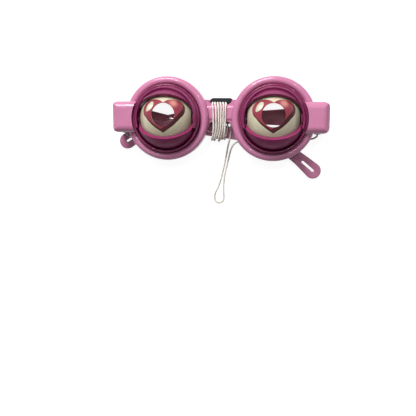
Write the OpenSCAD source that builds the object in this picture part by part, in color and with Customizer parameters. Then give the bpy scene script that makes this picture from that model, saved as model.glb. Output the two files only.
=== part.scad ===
// Novelty glasses with bulging see-through eyes, blinking lids and a chin cord.
// The pair lies on its back with its arms folded: +Z points out of the face,
// +Y to the forehead and +X to the right of someone who looks at the face.
// Every eye piece is drawn once for the right eye and mirrored for the left one.

/* [Face] */
// Distance between the two eye centres
eye_pitch = 78.5; // [76:0.5:86]
// Width of the round rim's band
rim_w = 5.75; // [5:0.25:6]
// Depth of the front frame, from its seat on the rear covers to its crest
frame_t = 10; // [9:0.5:12]
// Height of the bridge, from its lower to its upper edge
bridge_h = 12.5; // [10:0.5:14]
// Thickness of the bridge
bridge_t = 8; // [7:0.5:9]
// Height of the bridge's middle above the eye centres
bridge_y = 4.25; // [3:0.25:5]

/* [Eyeball] */
// Outer radius of the eyeball shell
eye_r = 20; // [19.5:0.5:21]
// Wall of the eyeball shell
eye_wall = 1.4; // [1:0.1:1.8]
// Radius of the hole that the wearer looks through
pupil_r = 8.4; // [6:0.2:9]
// Height of that hole above the eye centre
pupil_y = 2.5; // [0:0.5:4]
// Width of the tab that carries the eyeball on each side
tab_w = 8; // [6:0.5:9]
// Thickness of that tab
tab_t = 1.6; // [1.2:0.1:1.8]

/* [Lids] */
// Wall of each lid
lid_wall = 1; // [0.8:0.1:1.2]
// Running gap between the nested shells
lid_gap = 0.4; // [0.3:0.05:0.6]
// Angle of the upper lid's edge above straight ahead, with the eye open
upper_open = 47; // [40:1:50]
// Angle of the lower lid's edge below straight ahead, with the eye open
lower_open = 40; // [35:1:43]
// Angle that the upper lid spans
upper_span = 63; // [62:1:66]
// Angle that the lower lid spans
lower_span = 70; // [69:1:72]
// Angle that each lid turns for a blink
blink = 43; // [30:1:43]
// Half-length of the bead along the upper lid's edge
upper_bead_x = 15; // [8:0.5:15]
// Half-length of the thick part of the lower lid
lower_pad_x = 19.5; // [10:0.5:19.5]
// Angle that the upper lid's bead spans
bead_span = 3.5; // [2:0.5:4]
// Height of the upper lid's bead
upper_bead = 0.8; // [0.4:0.1:1]
// Radius of the disc that carries each lid on its pivot
ear_r = 5.2; // [4.6:0.1:5.4]

/* [Bezel] */
// Wall of the bezel that holds the lids
bezel_wall = 1.6; // [1.4:0.1:2]
// Angle from straight ahead at which the bezel's hood ends
hood_angle = 65; // [62:1:66]
// Thickness of the hood
hood_t = 1.2; // [1:0.1:1.4]
// Angle below the lids' axis at which the hood ends on each side
hood_drop = 18; // [10:1:30]
// Height of the bezel's straight barrel above the lids' axis
barrel_h = 6.5; // [6:0.25:8]

/* [Blink gear] */
// Tooth module of the gears and racks
tooth_m = 0.8; // [0.75:0.01:0.8]
// Number of teeth on each gear
teeth = 10; // [10:1:10]
// Width of each gear
gear_w = 2.5; // [2:0.1:2.6]
// Gap between the two gears of an eye
gear_gap = 0.6; // [0.5:0.05:0.7]
// Thickness of a rack behind its teeth
rack_t = 1.5; // [1.2:0.1:1.6]
// Radius of the lower lid's shaft
shaft_r = 1.2; // [1:0.05:1.25]
// Wall of the upper lid's sleeve round that shaft
sleeve_wall = 0.94; // [0.8:0.02:1]
// Number of turns of the return spring
spring_turns = 9; // [6:1:10]
// Mean radius of the return spring
spring_r = 1.3; // [1:0.1:1.4]
// Radius of the spring's wire
spring_wire = 0.22; // [0.2:0.01:0.26]

/* [Side housings] */
// Height of each side housing
box_h = 22.8; // [22:0.2:26]
// Spare room in each side housing beside its spring
box_spare = 0.2; // [0.2:0.1:3]
// Wall of the side housings
box_wall = 2; // [1.6:0.1:2.2]
// Radius of the housings' rounded edges
box_edge = 5; // [3:0.5:5.5]
// Height of the housings' middle above the eye centres
box_y = 1; // [0:0.25:1.5]
// Radius of the cord's guide bush
bush_r = 1.7; // [1.5:0.1:2]

/* [Arms] */
// Thickness of an arm
arm_t = 3; // [2.4:0.1:3.2]
// Length of an arm from its hinge to the middle of its round end
arm_len = 143.5; // [134:0.5:145]
// Half-height of an arm at its hinge
arm_root_r = 7.6; // [6.6:0.2:8]
// Half-height of an arm at its middle
arm_mid_r = 4.7; // [4:0.1:4.8]
// Half-height of an arm's neck behind the ear bend
arm_neck_r = 4.4; // [4:0.1:4.8]
// Half-height of an arm's round end
arm_tip_r = 6; // [5.4:0.1:6.2]
// Drop of the round end below the hinge
arm_drop = 29; // [27:0.5:31]
// Length of the strap slot in the round end
slot_len = 12; // [8:0.5:13]
// Width of the strap slot
slot_w = 1.8; // [1.4:0.1:2.4]
// Angle by which the folded arms lean apart from each other
arm_lean = 4.2; // [4:0.1:4.6]
// Radius of a hinge barrel
knuckle_r = 2.2; // [2:0.05:2.25]
// Radius of a hinge pin
hinge_pin_r = 1; // [0.8:0.05:1.1]
// Height of the lower arm above the table
arm_lift = 0.4; // [0.3:0.1:0.6]

/* [Nose pad] */
// Reach of the nose pad behind each rim
pad_over = 0.5; // [0.3:0.1:1.5]
// Height of the nose pad's upper edge above the eye centres
pad_top = 15.6; // [14:0.2:17]
// Height of the nose pad's lower edge above the eye centres
pad_low = 6; // [5.5:0.1:7]
// Thickness of the nose pad
pad_t = 2.8; // [2:0.2:3]

/* [Fasteners] */
// Radius of the screws
screw_r = 0.8; // [0.7:0.05:0.9]
// Radius of the screw heads
head_r = 1.4; // [1.2:0.1:1.5]
// Height of the screw heads
head_h = 1.2; // [1:0.1:1.2]
// Length of a rear cover screw below its head
cover_screw_len = 6.8; // [5:0.2:7]

/* [Cord] */
// Number of turns of the cord round the bridge
cord_turns = 6; // [4:1:6]
// Distance from one turn to the next
cord_pitch = 1.85; // [1.82:0.01:1.87]
// Depth of the space for the cord between the upper arm and the frame
cord_room = 2.3; // [2.2:0.1:2.6]

/* [Hidden] */
$fn = 96;

// Clearances that the pieces share
fit = 0.2;        // between fixed pieces that slot into each other
seat = 0.3;       // between pieces that lie close and move past each other
run = 0.06;       // radial, between a shaft and its bearing
press = 0.05;     // radial, between a shaft and what is glued to it
snug = 0.02;      // radial, between a hinge pin and the walls that hold it
spring_play = 0.36;  // between the return spring and the rack slider's legs
eps = 0.01;       // overlap of shapes that are one piece

// Nested radii of one eye, from the inside out
lower_r0 = eye_r + lid_gap;
lower_r1 = lower_r0 + lid_wall;
upper_r0 = lower_r1 + lid_gap;
upper_r1 = upper_r0 + lid_wall;
bezel_r0 = upper_r1 + lid_gap;
bezel_r1 = bezel_r0 + bezel_wall;
rim_r0 = bezel_r1 + fit;
rim_r1 = rim_r0 + rim_w;
rim_mid = (rim_r0 + rim_r1) / 2;
rim_space = eye_pitch - 2 * rim_r1;
pad_w = rim_space + 2 * pad_over;

// Heights above the table
arm_gap = 0.3;     // between the two folded arms
back_z = arm_lift + 2 * arm_t + arm_gap + cord_room;
shelf_t = 1.8;
shelf_z = back_z + shelf_t;
frame_z0 = back_z + 4;
frame_z1 = frame_z0 + frame_t;
lid_reach = -min(upper_r1 * cos(upper_open + upper_span), lower_r1 * cos(lower_open + lower_span));
axis_z = ceil((shelf_z + lid_reach + 1.2) * 2) / 2;

flare = 3.5;       // radius of the bridge's flares
screw_angles = [62, 140, 220, 298];  // places of the rear cover screws round an eye
plate_t = 0.9;     // thickness of the hinge housings' plate

// Eye and lid details
side_cut = eye_r - 1.3;
tab_end = sqrt(pow(bezel_r0 - fit, 2) - tab_w * tab_w / 4);
ear_lo_x = sqrt(lower_r0 * lower_r0 - ear_r * ear_r);
ear_up_x = sqrt(upper_r0 * upper_r0 - ear_r * ear_r);
sleeve_r = shaft_r + run + sleeve_wall;

// Gear train in a side housing, along X from the eye centre
pitch_r = tooth_m * teeth / 2;
addendum = tooth_m * 0.95;
dedendum = tooth_m * 1.2;
travel = pitch_r * blink * PI / 180;
cavity_x0 = bezel_r1 + 3.2;
gear_up_x = cavity_x0 + 0.6;
gear_lo_x = gear_up_x + gear_w + gear_gap;
slider_x1 = gear_lo_x + gear_w + fit;
spring_x = slider_x1 + spring_play + spring_wire + spring_r;
cavity_x1 = spring_x + spring_r + spring_wire + box_spare;
box_out = cavity_x1 + box_wall;
box_in = bezel_r1 - 0.3;
box_root = box_in - box_edge - 1;
box_y0 = box_y - box_h / 2;
box_y1 = box_y + box_h / 2;
box_near = sqrt(rim_r0 * rim_r0 - pow(max(-box_y0, box_y1), 2));
cavity_y0 = box_y0 + box_wall;
cavity_y1 = box_y1 - box_wall;
cavity_z0 = back_z + box_wall;
rack_z = pitch_r + dedendum + rack_t;
cavity_z1 = axis_z + rack_z + 0.5;
box_z1 = cavity_z1 + box_wall;
web_y1 = cavity_y1 - seat;
web_t = 1.7;
web_y0 = web_y1 - web_t;
leg_end = cavity_y0 + seat + travel;
spring_z = cavity_z1 - spring_r - spring_wire - 0.5;
boss_x = cavity_x1 - 1.2;
boss_r = 1.9;
boss_top = axis_z - 1.4;
shaft_end_x = cavity_x1 - 0.6;
pivot_boss_x = gear_lo_x + gear_w + 1.2;
pivot_boss_r = 2.6;
bush_x = gear_lo_x + gear_w / 2 - 0.7;
bush_z = axis_z - 5.5;
bush_out = 0.6;

// Arms
hinge_x = cavity_x1 - 6;
hinge_y = box_y;
knuckle_drop = 0.3;
root_x = 7;
arm_points = [
  [[root_x, 0], arm_root_r],
  [[arm_len * 0.31, -arm_drop * 0.11], arm_mid_r + 0.4],
  [[arm_len * 0.7, -arm_drop * 0.28], arm_mid_r - 0.2],
  [[arm_len * 0.87, -arm_drop * 0.57], arm_neck_r],
  [[arm_len, -arm_drop], arm_tip_r]
];
arm_low = hinge_y - arm_len * sin(arm_lean) - arm_drop * cos(arm_lean) - arm_tip_r;
centre_y = round((rim_r1 + arm_low) / 2);
end_x = arm_len * cos(arm_lean) + arm_drop * sin(arm_lean) - hinge_x - eye_pitch;

// Cord
cord_r = 0.7;
cord_z = back_z - cord_room + seat + 0.05 + cord_r;
wind_top = bridge_y + bridge_h / 2 + cord_r + 0.5;
wind_low = -15.5;
wind_play = 1.1;   // by how much the slack changes from turn to turn
wind_lean = -1.6;  // how far the slack loops lean to one side
wind_front = back_z + bridge_t + cord_r + 0.5;
wind_x0 = -0.6 - cord_pitch * cord_turns / 2;
wind_x1 = wind_x0 + cord_pitch * cord_turns;
join_y = -5;
rise_y = -2;
gland_x = bush_x + eye_pitch / 2;
left_route = [
  [-gland_x, box_y0 + 1, bush_z], [-gland_x, box_y0 - 0.2, bush_z], [-gland_x, box_y0 - 1.4, bush_z],
  [-70.6, -13.2, 12.4], [-67.4, -14.6, cord_z + 1], [-61, -14.3, cord_z],
  [-50, -10, cord_z], [-38, -5, cord_z], [-24, -5, cord_z], [-14, -8, cord_z],
  [wind_x0 - 1.4, -10, cord_z], [wind_x0, join_y - 3, cord_z], [wind_x0, join_y - 1.5, cord_z],
  [wind_x0, join_y, cord_z]
];
tail_route = [
  [wind_x1, rise_y, cord_z], [wind_x1, rise_y + 1, cord_z], [wind_x1, rise_y + 2, cord_z],
  [wind_x1 + 0.9, 1.4, cord_z], [wind_x1 + 2.2, 0.8, cord_z], [wind_x1 + 2.7, -1.5, cord_z],
  [wind_x1 + 2.6, -8, cord_z], [6.7, -15, cord_z], [5.6, -19.5, cord_z - 0.7], [4.6, -24, 4.6],
  [3.5, -29, 1.5], [2, -36, cord_r], [0, -45, cord_r], [-2.6, -53, cord_r], [-5.1, -58.5, cord_r],
  [-4.6, -63.4, cord_r], [-1.2, -65.2, cord_r], [1.9, -62.2, cord_r], [1.7, -54.5, cord_r],
  [2.2, -45, cord_r], [4.2, -36, cord_r], [5.7, -29.5, 1.5], [7, -24.5, 4.6], [9, -20, cord_z - 0.6],
  [11.6, -17.6, cord_z], [13, -17.4, cord_z], [14.4, -17.2, cord_z]
];
right_route = [
  [14.4, -17.2, cord_z], [15.8, -17, cord_z], [17.2, -16.8, cord_z], [27, -16.5, cord_z],
  [38, -16, cord_z], [52, -15.3, cord_z], [61, -14.6, cord_z], [67.4, -14.6, cord_z + 1],
  [70.6, -13.2, 12.4], [gland_x, box_y0 - 1.4, bush_z], [gland_x, box_y0 - 0.2, bush_z],
  [gland_x, box_y0 + 1, bush_z]
];

pink = [0.91, 0.49, 0.74];
magenta = [0.62, 0.16, 0.47];
cream = [0.93, 0.91, 0.80];
charcoal = [0.12, 0.14, 0.17];
steel = [0.72, 0.73, 0.75];
white = [0.93, 0.90, 0.87];

// A rectangle with round corners, from its low corner to its high corner.
module round_rect(low, high, r) {
  translate([low[0] + r, low[1]]) square([high[0] - low[0] - 2 * r, high[1] - low[1]]);
  translate([low[0], low[1] + r]) square([high[0] - low[0], high[1] - low[1] - 2 * r]);
  for (x = [low[0] + r, high[0] - r], y = [low[1] + r, high[1] - r])
    translate([x, y]) circle(r);
}

// A ring from radius a to radius b and from height z0 to height z1.
module ring(a, b, z0, z1) {
  translate([0, 0, z0])
    difference() {
      cylinder(h = z1 - z0, r = b);
      translate([0, 0, -1]) cylinder(h = z1 - z0 + 2, r = a);
    }
}

// A shaft along +X from x0 to x1, on the lids' axis unless y and z say otherwise.
module shaft(x0, x1, r, y = 0, z = axis_z) {
  translate([x0, y, z]) rotate([0, 90, 0]) cylinder(h = x1 - x0, r = r);
}

// Places what is drawn for the right eye at the right or the left eye.
module at_eye(side) {
  if (side > 0) translate([eye_pitch / 2, 0, 0]) children();
  else mirror([1, 0, 0]) translate([eye_pitch / 2, 0, 0]) children();
}

// A slice of a shell round the lids' axis. Angle 0 is straight ahead, and 90 is up.
module shell_slice(r0, r1, from, span, half_len) {
  translate([0, 0, axis_z])
    rotate([-90 - from - span, 0, 0])
      rotate([0, 90, 0])
        rotate([0, 0, -90])
          rotate_extrude(angle = span)
            intersection() {
              difference() {
                circle(r1);
                circle(r0);
              }
              translate([0, -half_len]) square([r1 + 1, 2 * half_len]);
            }
}

// The outline of the side housings seen from the front, and grown by a margin.
module box_block(z0, z1, grow = 0) {
  translate([0, 0, z0])
    linear_extrude(z1 - z0)
      round_rect([box_root - grow, box_y0 - grow], [box_out + grow, box_y1 + grow], box_edge + grow);
}

// The room that the side housings take out of the round frame pieces.
module box_notch() {
  difference() {
    box_block(-1, box_z1 + 1, fit);
    translate([0, 0, -2]) cylinder(h = box_z1 + 4, r = rim_r0 - fit);
  }
}

module front_frame() {
  color(pink)
    difference() {
      union() {
        for (side = [-1, 1]) at_eye(side) rim();
        bridge();
      }
      for (side = [-1, 1]) at_eye(side) {
        box_notch();
        translate([0, 0, -1]) cylinder(h = box_z1 + 4, r = rim_r0);
        for (a = screw_angles) screw_hole(a, frame_z0 - 1);
        ring(0, rim_r1 + fit, back_z - 1, frame_z0);
      }
    }
}

// One round rim, with a half-round crest.
module rim() {
  rotate_extrude() {
    translate([rim_r0, frame_z0]) square([rim_w, frame_t - rim_w / 2]);
    translate([rim_mid, frame_z1 - rim_w / 2]) circle(rim_w / 2);
  }
}

// The bar between the rims, with rounded edges all the way round it and a flare at each rim.
module bridge() {
  edge = 3;
  for (s = [0, 1], t = [0, 1]) mirror([s, 0, 0])
    translate([rim_space / 2, bridge_y, back_z + 1]) mirror([0, t, 0])
      translate([-flare, bridge_h / 2 - eps, 0]) linear_extrude(bridge_t - 2)
        difference() {
          translate([0, -1]) square([2 * flare, flare + 1]);
          translate([0, flare]) circle(flare);
        }
  translate([-eye_pitch / 2 + rim_mid, 0, 0])
    rotate([90, 0, 90])
      linear_extrude(eye_pitch - 2 * rim_mid)
        round_rect(
          [bridge_y - bridge_h / 2, back_z], [bridge_y + bridge_h / 2, back_z + bridge_t], edge
        );
}

// The hole for a rear cover screw, upwards from height z.
module screw_hole(a, z) {
  rotate([0, 0, a]) translate([rim_mid, 0, z])
    cylinder(h = back_z + head_h + cover_screw_len + 0.5 - z, r = screw_r + press, $fn = 32);
}

module cover_screws() {
  color(steel)
    for (side = [-1, 1]) at_eye(side)
      for (a = screw_angles) rotate([0, 0, a]) translate([rim_mid, 0, back_z])
        difference() {
          union() {
            cylinder(h = head_h, r = head_r, $fn = 48);
            cylinder(h = head_h + cover_screw_len, r = screw_r, $fn = 32);
          }
          cross_slot();
        }
}

// The cross recess in a screw head whose face is at height 0.
module cross_slot() {
  for (turn = [0, 90]) rotate([0, 0, turn])
    translate([-head_r * 0.6, -0.2, -1]) cube([head_r * 1.2, 0.4, 1.6]);
}

// The ring behind an eye: a shelf for the bezel and the eyeball, and a wall to the rim.
module rear_cover() {
  color(pink)
    difference() {
      union() {
        ring(eye_r, rim_r1 - fit, back_z, shelf_z);
        ring(rim_r0, rim_r1 - fit, shelf_z - eps, frame_z0);
      }
      box_notch();
      for (a = screw_angles) {
        screw_hole(a, back_z - 1);
        rotate([0, 0, a]) translate([rim_mid, 0, back_z - 1])
          cylinder(h = head_h + 1, r = head_r + press, $fn = 48);
      }
    }
}

// The coloured ring round an eye, whose hood covers the lids' ends above and beside the eye.
module bezel() {
  color(magenta)
    difference() {
      translate([0, 0, axis_z]) {
        rotate_extrude() barrel_profile();
        rotate([0, 0, -hood_drop]) rotate_extrude(angle = 180 + 2 * hood_drop) hood_profile();
      }
      shaft(0, bezel_r1 + 1, sleeve_r + run);
      mirror([1, 0, 0]) shaft(0, bezel_r1 + 1, shaft_r + press);
    }
}

// Half a section of the bezel's barrel, with a round edge.
module barrel_profile() {
  translate([bezel_r0, shelf_z - axis_z])
    square([bezel_wall, barrel_h - bezel_wall / 2 + axis_z - shelf_z]);
  translate([bezel_r0 + bezel_wall / 2, barrel_h - bezel_wall / 2]) circle(bezel_wall / 2, $fn = 32);
}

// Half a section of the hood, a piece of a round shell on top of the barrel.
module hood_profile() {
  intersection() {
    difference() {
      circle(bezel_r0 + hood_t);
      circle(bezel_r0);
    }
    polygon([
      [bezel_r0 * 0.96, barrel_h - 1.2], [2 * bezel_r1, barrel_h - 1.2],
      [2 * bezel_r1, 2 * bezel_r1 / tan(hood_angle)], [0, 0]
    ]);
  }
}

// The eyeball: a round shell with flat sides, a pupil hole and two tabs on the shelf.
module eyeball() {
  drop = axis_z - shelf_z;
  color(cream)
    difference() {
      union() {
        translate([0, 0, axis_z]) eye_solid(eye_r, side_cut, drop);
        for (s = [0, 1]) mirror([s, 0, 0])
          translate([side_cut - 2.2, -tab_w / 2, shelf_z])
            cube([tab_end - side_cut + 2.2, tab_w, tab_t]);
      }
      translate([0, 0, axis_z]) eye_solid(eye_r - eye_wall, side_cut - eye_wall, drop + 1);
      translate([0, pupil_y, axis_z]) cylinder(h = eye_r + 1, r = pupil_r);
    }
}

// A ball cut flat at both sides and open at the back.
module eye_solid(r, side, drop) {
  intersection() {
    sphere(r);
    translate([-side, -r - 1, -drop]) cube([2 * side, 2 * r + 2, r + 1 + drop]);
  }
}

// The upper lid and its sleeve, which carries a gear in the side housing.
module upper_lid() {
  color(magenta)
    difference() {
      union() {
        shell_slice(upper_r0, upper_r1, upper_open, upper_span, ear_up_x + lid_wall / 2);
        shell_slice(upper_r1 - 0.2, upper_r1 + upper_bead, upper_open, bead_span, upper_bead_x);
        for (s = [0, 1]) mirror([s, 0, 0]) shaft(ear_up_x, ear_up_x + lid_wall, ear_r);
        shaft(ear_up_x, gear_up_x + gear_w, sleeve_r);
      }
      shaft(-upper_r1 - 1, gear_up_x + gear_w + 1, shaft_r + run);
    }
}

// The lower lid and its solid shaft, which runs through the upper lid's sleeve.
module lower_lid() {
  color(magenta)
    difference() {
      union() {
        shell_slice(lower_r0, lower_r1, -lower_open - lower_span, lower_span, ear_lo_x + lid_wall / 2);
        shell_slice(lower_r1 - 0.2, upper_r1, -lower_open - lower_span, lower_span, lower_pad_x);
        for (s = [0, 1]) mirror([s, 0, 0]) shaft(ear_lo_x, ear_lo_x + lid_wall, ear_r);
        shaft(ear_lo_x, shaft_end_x, shaft_r);
      }
      mirror([1, 0, 0]) shaft(0, upper_r1, shaft_r + run);
    }
}

// The fixed pin on the bridge side, which both lids turn on.
module inner_pin() {
  color(steel)
    mirror([1, 0, 0]) shaft(ear_lo_x - 0.5, bezel_r1, shaft_r, $fn = 48);
}

// A gear's outline, with a tooth at angle 0 when phase is 0.
module gear_outline(phase) {
  circle(pitch_r - dedendum);
  for (i = [0:teeth - 1]) rotate([0, 0, phase + i * 360 / teeth])
    polygon([
      [0, -tooth_m * 0.92], [pitch_r - dedendum, -tooth_m * 0.92], [pitch_r, -tooth_m * 0.66],
      [pitch_r + addendum, -tooth_m * 0.28], [pitch_r + addendum, tooth_m * 0.28],
      [pitch_r, tooth_m * 0.66], [pitch_r - dedendum, tooth_m * 0.92], [0, tooth_m * 0.92]
    ]);
}

// A gear on the lids' axis from x on, whose phase counts from straight ahead.
module gear(x, bore, phase) {
  color(cream)
    translate([x, 0, axis_z])
      rotate([0, 90, 0])
        rotate([0, 0, 180])
          linear_extrude(gear_w)
            difference() {
              gear_outline(phase);
              circle(bore);
            }
}

module upper_gear() { gear(gear_up_x, sleeve_r + press, 0); }
module lower_gear() { gear(gear_lo_x, shaft_r + press, 180); }

// The teeth of a rack in a plane whose second axis points at the gear.
module rack_outline() {
  pitch = tooth_m * PI;
  first = ceil((leg_end + 1.2) / pitch - 0.5);
  last = floor((web_y0 - 1.2) / pitch - 0.5);
  translate([leg_end, -dedendum - rack_t]) square([web_y0 - leg_end + eps, rack_t]);
  for (i = [first:last]) translate([(i + 0.5) * pitch, 0])
    polygon([
      [-tooth_m * 1.1, -dedendum - eps], [-tooth_m * 0.24, addendum],
      [tooth_m * 0.24, addendum], [tooth_m * 1.1, -dedendum - eps]
    ]);
}

// The sliding yoke: a rack in front of the upper gear, one behind the lower gear and
// a shoulder for the spring. The cord draws it towards the chin.
module rack_slider() {
  x0 = gear_up_x - fit;
  x1 = slider_x1;
  leg_w = gear_w + 0.4;
  color(cream) {
    translate([x0, 0, axis_z + pitch_r]) rotate([90, 0, 90])
      linear_extrude(leg_w) mirror([0, 1]) rack_outline();
    translate([x1 - leg_w, 0, axis_z - pitch_r]) rotate([90, 0, 90])
      linear_extrude(leg_w) rack_outline();
    translate([x0, web_y0, axis_z - rack_z]) cube([x1 - x0, web_t, 2 * rack_z]);
    translate([x1 - eps, web_y0, spring_z - spring_r - 0.3])
      cube([cavity_x1 - seat - x1, web_t, 2 * spring_r + 0.6]);
  }
}

module return_spring() {
  y0 = cavity_y0 + spring_wire + 0.1;
  y1 = web_y0 - spring_wire - 0.1;
  steps = spring_turns * 8;
  color(steel)
    tube([
      for (i = [0:steps]) [
        spring_x + spring_r * cos(i * 45), y0 + (y1 - y0) * i / steps, spring_z + spring_r * sin(i * 45)
      ]
    ], spring_wire, 6);
}

// The front part of a side housing: a rounded box that is open at the back.
module gear_housing() {
  color(pink)
    difference() {
      union() {
        difference() {
          soft_box();
          translate([cavity_x0, cavity_y0, back_z - 1])
            cube([cavity_x1 - cavity_x0, cavity_y1 - cavity_y0, cavity_z1 - back_z + 1]);
        }
        shaft(pivot_boss_x, cavity_x1 + eps, pivot_boss_r);
        for (y = [cavity_y0 + boss_r - 0.5, cavity_y1 - boss_r - web_t])
          translate([boss_x, y, cavity_z0 + fit]) cylinder(h = boss_top - cavity_z0, r = boss_r);
      }
      translate([0, 0, -2]) cylinder(h = box_z1 + 4, r = bezel_r1 + fit);
      shaft(0, cavity_x0 + 1, sleeve_r + run);
      shaft(pivot_boss_x - 1, shaft_end_x + 0.3, shaft_r + run);
      bush_at(bush_r + press, box_y0 - 1, cavity_y0 + 1);
      housing_screw_places() cylinder(h = boss_top, r = screw_r + press, $fn = 32);
    }
}

// The housing's outer shape, rounded in all three directions.
module soft_box() {
  far = box_out + 6;
  intersection() {
    box_block(back_z, box_z1);
    translate([0, box_y1 + 1, 0]) rotate([90, 0, 0]) linear_extrude(box_h + 2)
      round_rect([box_root, back_z - box_h], [box_out, box_z1], box_edge);
    rotate([90, 0, 90]) linear_extrude(far)
      round_rect([box_y0, back_z - box_h], [box_y1, box_z1], box_edge);
    translate([box_near, box_y0 - 1, back_z]) cube([far, box_h + 2, box_z1]);
  }
}

// The two places of a housing's screws, at the hinge housing's plate.
module housing_screw_places() {
  for (y = [cavity_y0 + boss_r - 0.5, cavity_y1 - boss_r - web_t])
    translate([boss_x, y, back_z - fit]) children();
}

module housing_screws() {
  color(steel)
    for (side = [-1, 1]) at_eye(side) housing_screw_places()
      difference() {
        union() {
          translate([0, 0, -head_h + fit - press]) cylinder(h = head_h, r = head_r, $fn = 48);
          cylinder(h = boss_top - back_z - 0.4, r = screw_r, $fn = 32);
        }
        translate([0, 0, -head_h + fit - press]) cross_slot();
      }
}

// A cylinder along Y at the place of the cord's bush.
module bush_at(r, y0, y1) {
  translate([bush_x, y0, bush_z]) rotate([-90, 0, 0]) cylinder(h = y1 - y0, r = r, $fn = 48);
}

module cord_bush() {
  color(charcoal)
    difference() {
      union() {
        bush_at(bush_r, box_y0 - bush_out, cavity_y0 + 0.2);
        bush_at(bush_r + 0.6, box_y0 - bush_out, box_y0);
      }
      bush_at(cord_r + 0.1, box_y0 - bush_out - 1, cavity_y0 + 1);
    }
}

// The gap in the chin-side wall through which the other arm's end lies.
module end_notch() {
  translate([box_in - 1, box_y0 - 1, -1])
    cube([
      max(end_x, box_in) + 2 - box_in + 1, box_wall + 1 + eps + max(0, end_x - cavity_x1),
      1 + arm_lift + arm_t + seat
    ]);
}

// The rear part of a side housing: a plate that closes the gears in, and three walls
// round the arm's hinge. The pair lies on the edges of these walls.
module hinge_housing(side) {
  color(pink)
    difference() {
      union() {
        intersection() {
          box_block(0, back_z);
          translate([box_in, box_y0, 0]) cube([box_out, box_h, back_z]);
        }
        translate([cavity_x0 + fit, cavity_y0 + fit, back_z - eps])
          cube([cavity_x1 - cavity_x0 - 2 * fit, cavity_y1 - cavity_y0 - 2 * fit, box_wall]);
      }
      translate([box_in - 1, cavity_y0, -1])
        cube([cavity_x1 - box_in + 1, cavity_y1 - cavity_y0, back_z + 1 - plate_t]);
      translate([0, 0, -2]) cylinder(h = box_z1 + 4, r = bezel_r1 + fit);
      translate([0, 0, -2]) cylinder(h = back_z + 1, r = rim_r1);
      hinge_bore(side, hinge_pin_r + snug);
      if (side < 0) end_notch();
      housing_screw_places() translate([0, 0, -2])
        cylinder(h = boss_top, r = screw_r + press, $fn = 32);
      housing_screw_places() translate([0, 0, -2])
        cylinder(h = 2 + fit, r = head_r + press, $fn = 48);
    }
}

// Height of an arm's lower face, and of its hinge axis. The left arm folds over the right one.
function arm_z(side) = side > 0 ? arm_lift : arm_lift + arm_t + arm_gap;
function hinge_z(side) = arm_z(side) + knuckle_r - knuckle_drop;

// The hinge's own axes, with +X along the folded arm and leaning with it.
module at_hinge(side) {
  translate([hinge_x, hinge_y, hinge_z(side)])
    rotate([0, 0, -side * arm_lean])
      mirror([1, 0, 0])
        children();
}

// The bore for a hinge pin, right through whatever it is cut from.
module hinge_bore(side, r) {
  at_hinge(side) hinge_hole(r);
}

module hinge_hole(r) {
  translate([0, -box_h, 0]) rotate([-90, 0, 0]) cylinder(h = 2 * box_h, r = r, $fn = 48);
}

module hinge_pin(side) {
  half = box_h / 2 - 0.9;
  color(steel)
    at_hinge(side) translate([0, -half, 0]) rotate([-90, 0, 0])
      cylinder(h = 2 * half, r = hinge_pin_r, $fn = 48);
}

// An arm: a barrel on the hinge pin, a tapering blade, the ear bend and a slotted end.
module arm(side) {
  half = (cavity_y1 - cavity_y0) / 2 - 0.7;
  low = knuckle_drop - knuckle_r;
  color(pink)
    at_hinge(side)
      difference() {
        union() {
          translate([0, -half, 0]) rotate([-90, 0, 0]) cylinder(h = 2 * half, r = knuckle_r);
          translate([0, -arm_root_r, low]) cube([root_x, 2 * arm_root_r, arm_t]);
          translate([0, 0, low]) linear_extrude(arm_t) arm_outline();
        }
        hinge_hole(hinge_pin_r + run);
        translate([arm_points[4][0][0], arm_points[4][0][1], low - 1])
          rotate([0, 0, blade_way(len(blade_line) - 1)]) linear_extrude(arm_t + 2) strap_slot();
      }
}

// Middle line and half-height of the blade, and its direction at each point.
blade_line = smooth([for (a = arm_points) [a[0][0], a[0][1], a[1]]], 6);
function blade_way(i) = let (d = blade_line[min(i + 1, len(blade_line) - 1)] - blade_line[max(i - 1, 0)])
  atan2(d[1], d[0]);
function blade_edge(i, turn) = let (p = blade_line[i], a = blade_way(i) + turn)
  [p[0] + p[2] * cos(a), p[1] + p[2] * sin(a)];

// The blade's outline: two smooth flanks and a round end.
module arm_outline() {
  last = len(blade_line) - 1;
  polygon(concat(
    [for (i = [0:last]) blade_edge(i, -90)],
    [for (turn = [-82.5:7.5:82.5]) blade_edge(last, turn)],
    [for (i = [last:-1:0]) blade_edge(i, 90)]
  ));
}

// The slot for a strap, which ends near the middle of the round end.
module strap_slot() {
  round_rect([-slot_len + 1, -slot_w / 2], [1, slot_w / 2], slot_w / 2 - eps);
}

// A soft saddle behind the bridge, on two feet that leave room for the cord.
module nose_pad() {
  foot_x = pad_w / 2 - 1.7;
  pad_z1 = cord_z - cord_r - seat;
  color(charcoal)
    union() {
      translate([0, 0, pad_z1 - pad_t]) linear_extrude(pad_t)
        round_rect([-pad_w / 2, pad_low], [pad_w / 2, pad_top], 3);
      for (s = [0, 1]) mirror([s, 0, 0])
        translate([foot_x, pad_low + 0.4, pad_z1 - eps])
          cube([pad_w / 2 - foot_x - 0.4, 3.6, back_z - pad_z1 + eps]);
    }
}

// Points of a smooth curve through the given ones, n steps to a span.
function smooth(p, n) = [
  for (i = [0:len(p) - 2], k = [0:n - 1]) let (
    a = p[max(i - 1, 0)], b = p[i], c = p[i + 1], d = p[min(i + 2, len(p) - 1)], t = k / n
  ) b + t * ((c - a) / 2 + t * (a - 2.5 * b + 2 * c - d / 2 + t * (1.5 * (b - c) + (d - a) / 2))),
  p[len(p) - 1]
];

// Unit direction of the route at point i.
function heading(p, i) = let (d = p[min(i + 1, len(p) - 1)] - p[max(i - 1, 0)]) d / norm(d);

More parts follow.
